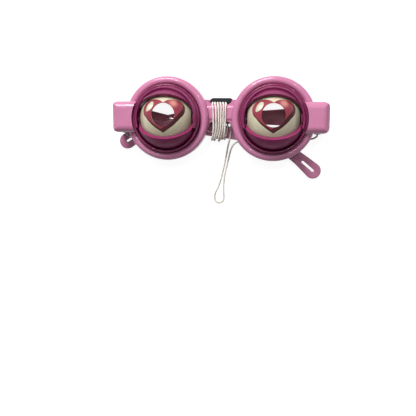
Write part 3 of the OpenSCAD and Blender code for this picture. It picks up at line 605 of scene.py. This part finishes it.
@dataclass
class HeartPrint:
    """The heart that is printed round an eyeball's pupil hole, as thin films of ink on its ball. Sizes are in
    millimetres. X and Y are from the eye's middle, and axis_z is the ball's middle above the table. Slants
    and turns are in degrees, and the unit heart's width, height and bow have no unit. A spot where an ink
    turns lighter is given by its X, its Y and its reach; the crimson one is a painted highlight."""

    side: Side
    width: float = 30.4
    height: float = 23.6
    tip_y: float = -10.2
    bow: float = 0.05
    unit_width: float = 1.207
    unit_height: float = 1.104
    hole_y: float = 2.5
    hole_r: float = 8.4
    ball_r: float = 20.0
    ball_wall: float = 1.4
    axis_z: float = 20.0
    skin: float = 0.03
    clear: float = 0.05
    farthest: float = 22.0
    halvings: int = 40
    around: int = 240
    shade_dx: float = -1.5
    shade_dy: float = 2.6
    # the crimson ink turns lighter round this spot on the upper right lobe: a painted highlight
    crimson_painted_highlight: Point = (7.3, 10.8, 5.0)
    maroon_spot: Point = (0.0, -8.0, 9.0)
    cream_spot: Point = (-8.9, 7.6, 3.6)
    gleam_x: float = -10.0
    gleam_y: float = 8.2
    gleam_long: float = 4.1
    gleam_wide: float = 1.9
    gleam_taper: float = 0.3
    gleam_slant: float = 54.0
    bead_x: float = 0.4
    bead_y: float = 2.0
    bead_wide: float = 15.2
    bead_high: float = 14.2
    bead_from: float = 200.0
    bead_turn: float = 140.0
    bead_steps: int = 60
    bead_r: float = 0.15
    bead_sunk: float = 0.06

    def inside(self, x: float, y: float) -> bool:
        """Whether a point lies in the heart. It is scaled to a unit heart: a square on its corner, with a
        diagonal of 1, and a half circle on each of its upper sides.

        Args:
            x: Millimetres from the eye's middle to its right.
            y: Millimetres above the eye's middle.

        Returns:
            True within the outline.
        """
        u = abs(x) / self.width * self.unit_width
        v = (y - self.tip_y) / self.height * self.unit_height
        if u + v > 1:
            return math.hypot(u - 0.25, v - 0.75) <= math.sqrt(2) / 4
        bow = self.bow * math.sin(math.pi * min(max(v / 0.5, 0.0), 1.0))
        return u < v + bow

    def edge(self, angle: float, dx: float = 0.0, dy: float = 0.0) -> float:
        """Distance from the hole's middle to the outline.

        Args:
            angle: Direction from the hole's middle.
            dx: How far the outline is moved to the right.
            dy: How far it is moved up.

        Returns:
            The distance in millimetres, and at least the hole's edge.
        """
        low, high = self.hole_r - self.clear, self.farthest
        for _ in range(self.halvings):
            mid = (low + high) / 2
            x, y = mid * math.cos(angle), self.hole_y + mid * math.sin(angle)
            low, high = (mid, high) if self.inside(x - dx, y - dy) else (low, mid)
        return low

    def on_ball(self, x: float, y: float, skin: float) -> Vector:
        """Turns X and Y from the eye's middle, and a height above the ball, to a point in metres."""
        z = math.sqrt((self.ball_r + skin) ** 2 - x * x - y * y)
        return Vector((self.side.value * EYE_X + x, LIFT_Y + y, self.axis_z + z)) * MM

    def ink(self, colour_name: str, colour: str, light: str, spot: Point) -> PadPrintInk:
        """Mixes an ink of this eye.

        Args:
            colour_name: The colour's name.
            colour: The ink's own colour.
            light: Its colour in the middle of the lighter spot, which on the crimson ink is a painted
                highlight.
            spot: The spot's X, Y and reach.

        Returns:
            The ink.
        """
        x, y, reach = spot
        return PadPrintInk(f"{self.side.word}_{colour_name}_ink", colour, light,
                           tuple(self.on_ball(x, y, 0)), reach)

    def patch(self, inner: Callable[[float], float], layer: int, rings: int) -> bmesh.types.BMesh:
        """A sheet of ink from an inner outline round the pupil hole to the heart's own outline.

        Args:
            inner: Distance to the inner outline, by angle.
            layer: Its place in the stack of inks, from 1.
            rings: Number of faces from one outline to the other.

        Returns:
            The sheet, whose faces point outwards.
        """
        bm = bmesh.new()
        loops = []
        for radius in (1.0, 2.0):
            made = bmesh.ops.create_circle(bm, segments=self.around, radius=radius)["verts"]
            loops += edges_of(made)
        bmesh.ops.bridge_loops(bm, edges=loops)
        spokes = [e for e in bm.edges if abs(e.verts[0].co.length - e.verts[1].co.length) > 0.5]
        bmesh.ops.subdivide_edges(bm, edges=spokes, cuts=rings - 1, use_grid_fill=True)
        for v in bm.verts:
            angle, share = math.atan2(v.co.y, v.co.x), v.co.length - 1
            near = inner(angle)
            reach = near * (1 - share) + max(near, self.edge(angle)) * share
            v.co = self.on_ball(reach * math.cos(angle), self.hole_y + reach * math.sin(angle),
                                layer * self.skin)
        return facing_up(bm)

    def gleam(self, layer: int) -> bmesh.types.BMesh:
        """The printed highlight on the lobe at the upper left: a slanting oval.

        Args:
            layer: Its place in the stack of inks.

        Returns:
            The oval as a sheet, whose faces point outwards.
        """
        bm = bmesh.new()
        bmesh.ops.create_circle(bm, segments=48, radius=1.0, cap_ends=True, cap_tris=True)
        bmesh.ops.subdivide_edges(bm, edges=[e for e in bm.edges if not e.is_boundary], cuts=4)
        slant = math.radians(self.gleam_slant)
        for v in bm.verts:
            a, b = v.co.x * self.gleam_long, v.co.y * (self.gleam_wide + self.gleam_taper * v.co.x)
            x = self.gleam_x + a * math.cos(slant) - b * math.sin(slant)
            y = self.gleam_y + a * math.sin(slant) + b * math.cos(slant)
            v.co = self.on_ball(x, y, layer * self.skin)
        return facing_up(bm)

    def rim(self) -> bmesh.types.BMesh:
        """The ink that runs down the wall of the pupil hole.

        Returns:
            The wall of ink as a sheet, whose faces point into the hole.
        """
        bm = bmesh.new()
        bmesh.ops.create_cone(bm, segments=self.around // 2, radius1=1.0, radius2=1.0, depth=2.0)
        bore = self.hole_r - self.clear
        for v in bm.verts:
            depth = self.skin if v.co.z > 0 else -self.ball_wall
            v.co = self.on_ball(bore * v.co.x, self.hole_y + bore * v.co.y, depth)
        bmesh.ops.recalc_face_normals(bm, faces=bm.faces)
        bmesh.ops.reverse_faces(bm, faces=bm.faces)
        return bm

    def bead(self) -> bmesh.types.BMesh:
        """The fine moulded line on the ball below the heart.

        Returns:
            The line as a thin tube, a little more than half sunk in the ball.
        """
        line = []
        for k in range(self.bead_steps + 1):
            turn = math.radians(self.bead_from + self.bead_turn * k / self.bead_steps)
            line.append(self.on_ball(self.bead_x + self.bead_wide * math.cos(turn),
                                     self.bead_y + self.bead_high * math.sin(turn), -self.bead_sunk))
        return tube(line, lambda angle: self.bead_r * MM, sides=8)

    def build(self) -> None:
        """Prints the three inks and the hole's wall, and moulds the line below them."""
        word = self.side.word
        # The crimson ink's lighter spot on the upper right lobe is a painted highlight.
        crimson = self.ink("crimson", "#943848", "#D68F84", self.crimson_painted_highlight)
        maroon = self.ink("maroon", "#451318", "#561A20", self.maroon_spot)
        cream = self.ink("cream", "#CBC8AF", "#F2F0E0", self.cream_spot)
        heart = self.patch(lambda a: self.hole_r - self.clear, layer=1, rings=12)
        shade = self.patch(lambda a: min(self.edge(a), self.edge(a, self.shade_dx, self.shade_dy)),
                           layer=2, rings=6)
        prints = {
            "heart_print": (heart, crimson),
            "heart_shade": (shade, maroon),
            "heart_gleam": (self.gleam(layer=3), cream),
            "pupil_rim": (self.rim(), crimson)}
        for what, (sheet, ink) in prints.items():
            thing = place_piece(f"{word}_{what}", film(sheet, self.skin), ink, "frame")
            thing.data.set_sharp_from_angle(angle=CREASE)
        place_piece(f"{word}_ball_bead", self.bead(), IVORY, "frame")


@dataclass
class Eye:
    """One eye: bezel, eyeball with its print, and the two lids on their pins."""

    side: Side

    def build(self) -> None:
        """Dresses the nodes and prints the heart."""
        word = self.side.word
        dress(MAGENTA, f"{word}_bezel", f"{word}_upper_lid")
        # The lower lids take the lighter copy of the magenta: painted light for the light that they don't
        # get.
        dress(LIT_LID_MAGENTA, f"{word}_lower_lid")
        dress(IVORY, f"{word}_eyeball")
        dress(STEEL, f"{word}_inner_pin")
        HeartPrint(self.side).build()


@dataclass
class BlinkDrive:
    """The gears, rack slider, return spring and cord bush in one side housing. Sizes are in millimetres, X
    and Y are from the eye's middle, and Z is from the table."""

    side: Side
    turns: float = 9.0
    turn_steps: int = 20
    coil_r: float = 1.3
    wire_r: float = 0.22
    spring_x: float = 36.28
    spring_z: float = 24.94
    from_y: float = -8.08
    to_y: float = 8.08
    travel: float = 3.0

    def spring(self) -> None:
        """Winds the return spring at its length at rest, fixed to the frame."""
        word = self.side.word
        steps = int(self.turns * self.turn_steps)
        line = []
        for k in range(steps + 1):
            turn = k / self.turn_steps * math.tau
            x = EYE_X + self.spring_x + self.coil_r * math.cos(turn)
            y = LIFT_Y + self.from_y + (self.to_y - self.from_y) * k / steps
            z = self.spring_z + self.coil_r * math.sin(turn)
            line.append(Vector((self.side.value * x, y, z)) * MM)
        coil = tube(line, lambda angle: self.wire_r * MM, sides=8)
        thing = place_piece(f"{word}_spring_coil", coil, STEEL, "frame")
        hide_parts(f"{word}_return_spring")
        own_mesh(thing)

    def build(self) -> None:
        """Dresses the drive and winds its spring."""
        word = self.side.word
        dress(ACETAL, f"{word}_upper_gear", f"{word}_lower_gear", f"{word}_rack_slider")
        dress(RUBBER, f"{word}_cord_bush")
        self.spring()


@dataclass
class SideHousing:
    """The two shells of a side housing and the pin of the arm's hinge."""

    side: Side

    def build(self) -> None:
        """Dresses the shells and the pin."""
        word = self.side.word
        dress(PINK, f"{word}_gear_housing", f"{word}_hinge_housing")
        dress(STEEL, f"{word}_hinge_pin")


@dataclass
class Arm:
    """One arm, whose blade has the rounded edges of a moulding."""

    side: Side
    edge_mm: float = 0.45

    def build(self) -> None:
        """Rounds the arm's edges and dresses it."""
        word = self.side.word
        eased(f"{word}_arm", ARM_PINK, f"{word}_arm", self.edge_mm)


@dataclass
class FaceShell:
    """The front frame with its rear covers and their screws."""

    def build(self) -> None:
        """Dresses the shell."""
        dress(PINK, "front_frame", "left_rear_cover", "right_rear_cover")
        dress(STEEL, "cover_screws", "housing_screws")


@dataclass
class NosePad:
    """The soft rubber saddle behind the bridge, with its two feet. Sizes are in millimetres, its crease is
    in degrees, and the feet's lower and upper ends are from the eye centres."""

    thick: float = 2.8
    corner: float = 3.0
    edge: float = 0.9
    hollow: float = 0.35
    hollow_reach: float = 9.0
    rear_depth: float = 0.5
    foot_x: float = 7.95
    foot_w: float = 1.3
    foot_low: float = 6.4
    foot_high: float = 10.0
    foot_sunk: float = 0.2
    crease: float = 50.0

    def saddle(self, bm: bmesh.types.BMesh, low: Vector, high: Vector, face_z: float) -> None:
        """Makes the saddle from a block with rounded corners and edges, and hollows its rear for the nose.

        Args:
            bm: Where it is made.
            low: The least corner of the pad's box.
            high: Its greatest corner.
            face_z: Height of the saddle's face towards the bridge.
        """
        block = bmesh.ops.create_cube(bm, size=1.0)["verts"]
        middle = (low.x + high.x) / 2
        bmesh.ops.scale(bm, vec=(high.x - low.x, high.y - low.y, face_z - low.z), verts=block)
        bmesh.ops.translate(bm, vec=(middle, (low.y + high.y) / 2, (low.z + face_z) / 2), verts=block)
        upright = [e for e in bm.edges if abs(e.verts[0].co.z - e.verts[1].co.z) > self.thick * MM / 2]
        bmesh.ops.bevel(bm, geom=upright, offset=self.corner * MM, segments=8, profile=0.5,
                        affect="EDGES", material=-1)
        rim = [e for e in bm.edges if e.calc_face_angle(0) > CORNER]
        bmesh.ops.bevel(bm, geom=rim, offset=self.edge * MM, segments=4, profile=0.5, affect="EDGES",
                        material=-1)
        bmesh.ops.triangulate(bm, faces=[f for f in bm.faces if len(f.verts) > 4])
        bmesh.ops.subdivide_edges(bm, edges=bm.edges, cuts=2, use_grid_fill=True)
        for v in bm.verts:
            if v.co.z < low.z + self.rear_depth * MM:
                out = min(1.0, abs(v.co.x - middle) / (self.hollow_reach * MM))
                v.co.z += self.hollow * MM * (1 - out ** 2)

    def feet(self, bm: bmesh.types.BMesh, top_z: float, face_z: float) -> None:
        """Adds the two feet, which hold the saddle to the bridge.

        Args:
            bm: Where they are made.
            top_z: Height of their ends.
            face_z: Height of the saddle's face.
        """
        size = (self.foot_w * MM, (self.foot_high - self.foot_low) * MM,
                top_z - face_z + self.foot_sunk * MM)
        y = (LIFT_Y + (self.foot_low + self.foot_high) / 2) * MM
        z = (top_z + face_z) / 2 - self.foot_sunk / 2 * MM
        for sign in (-1, 1):
            foot = bmesh.ops.create_cube(bm, size=1.0)["verts"]
            bmesh.ops.scale(bm, vec=size, verts=foot)
            bmesh.ops.translate(bm, vec=(sign * self.foot_x * MM, y, z), verts=foot)

    def build(self) -> None:
        """Makes the saddle and its feet in the box of the CAD pad."""
        low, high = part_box("nose_pad")
        face_z = low.z + self.thick * MM
        bm = bmesh.new()
        self.saddle(bm, low, high, face_z)
        self.feet(bm, high.z, face_z)
        bmesh.ops.recalc_face_normals(bm, faces=bm.faces)
        thing = place_piece("nose_saddle", bm, RUBBER, "frame")
        thing.data.set_sharp_from_angle(angle=math.radians(self.crease))
        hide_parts("nose_pad")


@dataclass
class ChinCord:
    """The chin cord as stored: out of one housing, behind the eyes, round the bridge, down in a long loop
    and back to the other housing. Sizes are in millimetres. X is from the middle of the bridge, Y from the
    eye centres and Z from the table."""

    radius: float = 0.7
    turns: int = 6
    turn_steps: int = 24
    pitch: float = 1.85
    z: float = 7.75
    bridge_y: float = 4.25
    bridge_h: float = 12.5
    wind_x: float = -0.6
    wind_top: float = 11.7
    wind_low: float = -15.5
    wind_play: float = 1.1
    play_wave: float = 0.62
    wind_lean: float = -1.6
    lean_below: float = 2.0
    wind_front: float = 18.2
    wind_slack: float = 0.4
    slack_below: float = 3.0
    wind_stray: float = 0.45
    stray_wave: float = 2.1
    join_y: float = -5.0
    join_step: float = 1.5
    rise_y: float = -2.0
    gland: tuple[float, float] = (71.5, 14.5)
    box_low: float = -10.4
    run_steps: int = 4
    tail_steps: int = 3
    step: float = 0.45
    sides: int = 18
    strands: int = 3
    strand_pitch: float = 3.4
    lobe: float = 0.12
    start: float = field(init=False)
    end: float = field(init=False)

    def __post_init__(self) -> None:
        """Places the winding on the bridge."""
        self.start = self.wind_x - self.pitch * self.turns / 2
        self.end = self.start + self.pitch * self.turns

    def left_route(self) -> list[Point]:
        """The run from the left housing to the bridge.

        Returns:
            Its points.
        """
        gx, gz = self.gland
        low, z, x, join, step = self.box_low, self.z, self.start, self.join_y, self.join_step
        return [(-gx, low + 1, gz), (-gx, low - 0.2, gz), (-gx, low - 1.4, gz), (-70.6, -13.2, 12.4),
                (-67.4, -14.6, z + 1), (-61, -14.3, z), (-50, -10, z), (-38, -5, z), (-24, -5, z),
                (-14, -8, z), (x - 1.4, -10, z), (x, join - 2 * step, z), (x, join - step, z), (x, join, z)]

    def tail_route(self) -> list[Point]:
        """The long loop that hangs from the bridge.

        Returns:
            Its points.
        """
        z, x, r, up = self.z, self.end, self.radius, self.rise_y
        return [(x, up, z), (x, up + 1, z), (x, up + 2, z), (x + 0.9, 1.4, z), (x + 2.2, 0.8, z),
                (x + 2.7, -1.5, z), (x + 2.6, -8, z), (6.7, -15, z), (5.6, -19.5, z - 0.7), (4.6, -24, 4.6),
                (3.5, -29, 1.5), (2, -36, r), (0, -45, r), (-2.6, -53, r), (-5.1, -58.5, r), (-4.6, -63.4, r),
                (-1.2, -65.2, r), (1.9, -62.2, r), (1.7, -54.5, r), (2.2, -45, r), (4.2, -36, r),
                (5.7, -29.5, 1.5), (7, -24.5, 4.6), (9, -20, z - 0.6), (11.6, -17.6, z), (13, -17.4, z),
                (14.4, -17.2, z)]

    def right_route(self) -> list[Point]:
        """The run from the loop to the right housing.

        Returns:
            Its points.
        """
        gx, gz = self.gland
        low, z = self.box_low, self.z
        return [(14.4, -17.2, z), (15.8, -17, z), (17.2, -16.8, z), (27, -16.5, z), (38, -16, z),
                (52, -15.3, z), (61, -14.6, z), (67.4, -14.6, z + 1), (70.6, -13.2, 12.4),
                (gx, low - 1.4, gz), (gx, low - 0.2, gz), (gx, low + 1, gz)]

    def wound(self) -> list[Point]:
        """The turns round the bridge, which hang slack below it.

        Returns:
            Their points.
        """
        drop = self.bridge_y - self.wind_low
        first = math.asin(-(((self.bridge_y - self.join_y - self.join_step) / drop) ** 2))
        slack_y = self.bridge_y - self.bridge_h / 2 - self.slack_below
        lean_y = self.join_y - self.lean_below
        steps = self.turns * self.turn_steps
        line = []
        for i in range(steps + 1):
            t = first + math.radians(360 * i / self.turn_steps)
            up, back = (math.copysign(math.sqrt(abs(f(t))), f(t)) for f in (math.sin, math.cos))
            front = (1 - back) / 2
            hang = self.wind_low - self.wind_play * math.sin(self.play_wave * t) * max(0.0, -math.sin(t))
            y = self.bridge_y + up * ((self.wind_top - self.bridge_y) if up > 0 else self.bridge_y - hang)
            slack = min(1.0, 1 - self.wind_slack * (slack_y - y) / drop)
            z = self.z + (self.wind_front - self.z) * front * slack
            lean = self.wind_lean * max(0.0, lean_y - y) / (lean_y - self.wind_low)
            stray = self.wind_stray * math.sin(self.stray_wave * t) * front
            line.append((self.start + (self.end - self.start) * i / steps + lean + stray, y, z))
        return line

    def line(self) -> list[Vector]:
        """The whole cord's centreline.

        Returns:
            Its points in metres, in the part's frame.
        """
        return (smooth_route(metres(self.left_route()), self.run_steps) + metres(self.wound())
                + smooth_route(metres(self.tail_route()), self.tail_steps)
                + smooth_route(metres(self.right_route()), self.run_steps)[1:])

    def build(self) -> None:
        line = evenly(self.line(), self.step * MM)
        line = [line[0]] + [(a + 2 * b + c) / 4 for a, b, c in zip(line, line[1:], line[2:])] + [line[-1]]
        r = self.radius * MM
        bm = tube(line, lambda angle: r * (1 - self.lobe * (0.5 - 0.5 * math.cos(self.strands * angle))),
                  self.sides, twist=math.tau / (self.strand_pitch * MM))
        thing = place_piece("chin_cord", bm, COTTON, "frame")
        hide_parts("cord_left_run", "cord_winding", "cord_tail", "cord_right_run")


@dataclass(frozen=True)
class Lamp:
    """A square soft lamp that points at the object. Its place, its side and its aim are in metres."""

    name: str
    place: Point
    size: float
    watts: float
    aim: Point = (0.0, 0.0, 0.02)

    def hang(self) -> None:
        """Adds the lamp to the scene."""
        data = bpy.data.lights.new(self.name, "AREA")
        data.energy, data.size = self.watts, self.size
        thing = bpy.data.objects.new(self.name, data)
        bpy.context.scene.collection.objects.link(thing)
        thing.location = self.place
        thing.rotation_mode = "QUATERNION"
        thing.rotation_quaternion = (Vector(self.aim) - Vector(self.place)).to_track_quat("-Z", "Y")


def seen_rays(tree: bpy.types.NodeTree) -> bpy.types.NodeSocket:
    """Tells the rays that show a backdrop, in the picture, a mirror or a clear piece, from those that light.

    Args:
        tree: The backdrop's tree.

    Returns:
        A value of 1 for the rays that show it and 0 for the others.
    """
    path = add(tree, "ShaderNodeLightPath")
    seen = add(tree, "ShaderNodeMath", {
        0: path.outputs["Is Camera Ray"], 1: path.outputs["Is Glossy Ray"]}, operation="MAXIMUM")
    return add(tree, "ShaderNodeMath", {
        0: seen.outputs["Value"], 1: path.outputs["Is Transmission Ray"]},
        operation="MAXIMUM").outputs["Value"]


@dataclass
class Studio:
    """A white table, soft lamps and a camera above, as the photograph was taken. Its sizes are in
    millimetres, its roll is in degrees, and the lamps are as their class says."""

    stand: Point = (37.3, 4.6, 440.3)
    aim: Point = (-8.0, -59.2, 23.0)
    lens: float = 49.0
    sensor: float = 36.0
    roll: float = 0.34
    sky_colour: str = "#F4F6FA"
    sky_light: float = 0.14
    sky_shown: float = 0.6
    paper_colour: str = "#A8A8A8"
    paper_shown: float = 0.9
    table_half: float = 3000.0
    lamps: tuple[Lamp, ...] = (
        Lamp("window", (-0.2, 0.7, 0.6), 0.4, 9.6),
        Lamp("ceiling_left", (-0.14, 0.3, 0.95), 0.07, 0.8),
        Lamp("ceiling_right", (0.26, 0.34, 0.9), 0.07, 0.8),
        Lamp("room", (0.1, 0.15, 1.1), 0.9, 0.7))

    def camera(self) -> None:
        """Stands the camera above the right eye and points it at the middle of the photograph."""
        data = bpy.data.cameras.new("camera")
        thing = bpy.data.objects.new("camera", data)
        bpy.context.scene.collection.objects.link(thing)
        thing.location = Vector(self.stand) * MM
        thing.rotation_mode = "QUATERNION"
        ahead = (Vector(self.aim) - Vector(self.stand)).normalized()
        lean = math.radians(self.roll)
        right = ahead.cross(Vector((-math.sin(lean), math.cos(lean), 0))).normalized()
        turn = Matrix((right, right.cross(ahead), -ahead)).transposed()
        thing.rotation_quaternion = turn.to_quaternion()
        data.sensor_width, data.lens = self.sensor, self.lens
        data.clip_start, data.clip_end = 0.05, 20.0
        bpy.context.scene.camera = thing

    def sky(self) -> None:
        """Makes a pale backdrop that adds little light of its own."""
        world = bpy.data.worlds.new("sky")
        world.use_nodes = True
        tree = world.node_tree
        strength = add(tree, "ShaderNodeMapRange", {
            "Value": seen_rays(tree), "To Min": self.sky_light, "To Max": self.sky_shown})
        tree.nodes["Background"].inputs["Color"].default_value = linear(self.sky_colour)
        tree.links.new(strength.outputs["Result"], tree.nodes["Background"].inputs["Strength"])
        bpy.context.scene.world = world

    def paper(self) -> bpy.types.Material:
        """Makes the table's paper, which shows white from above, keeps a shadow and is clear from below.

        Returns:
            The material.
        """
        material, tree = new_material("white_paper")
        seen = seen_rays(tree)
        paper = add(tree, "ShaderNodeBsdfDiffuse", {"Color": linear(self.paper_colour)})
        bright = add(tree, "ShaderNodeEmission", {"Color": linear("#FFFFFF"), "Strength": self.paper_shown})
        both = add(tree, "ShaderNodeAddShader", {0: paper.outputs["BSDF"], 1: bright.outputs["Emission"]})
        above = add(tree, "ShaderNodeMixShader", {
            0: seen, 1: paper.outputs["BSDF"], 2: both.outputs["Shader"]})
        below = add(tree, "ShaderNodeNewGeometry").outputs["Backfacing"]
        clear = add(tree, "ShaderNodeBsdfTransparent")
        sheet = add(tree, "ShaderNodeMixShader", {
            0: below, 1: above.outputs["Shader"], 2: clear.outputs["BSDF"]})
        add(tree, "ShaderNodeOutputMaterial", {"Surface": sheet.outputs["Shader"]})
        return material

    def table(self) -> None:
        """Lays the table under the object."""
        bm = bmesh.new()
        bmesh.ops.create_grid(bm, x_segments=2, y_segments=2, size=self.table_half * MM)
        mesh = bpy.data.meshes.new("table")
        bm.to_mesh(mesh)
        bm.free()
        mesh.materials.append(self.paper())
        thing = bpy.data.objects.new("table", mesh)
        bpy.context.scene.collection.objects.link(thing)

    def build(self) -> None:
        """Sets up the table, the lamps, the sky and the camera."""
        bpy.context.scene.view_settings.view_transform = "Standard"
        self.table()
        for lamp in self.lamps:
            lamp.hang()
        self.sky()
        self.camera()


def main() -> None:
    """Builds every sub-assembly."""
    logging.basicConfig(level=logging.INFO, format="%(message)s")
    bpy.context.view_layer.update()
    Studio().build()
    ChinCord().build()
    FaceShell().build()
    for side in Side:
        Eye(side).build()
        BlinkDrive(side).build()
        SideHousing(side).build()
        Arm(side).build()
    NosePad().build()


if __name__ == "__main__":
    main()
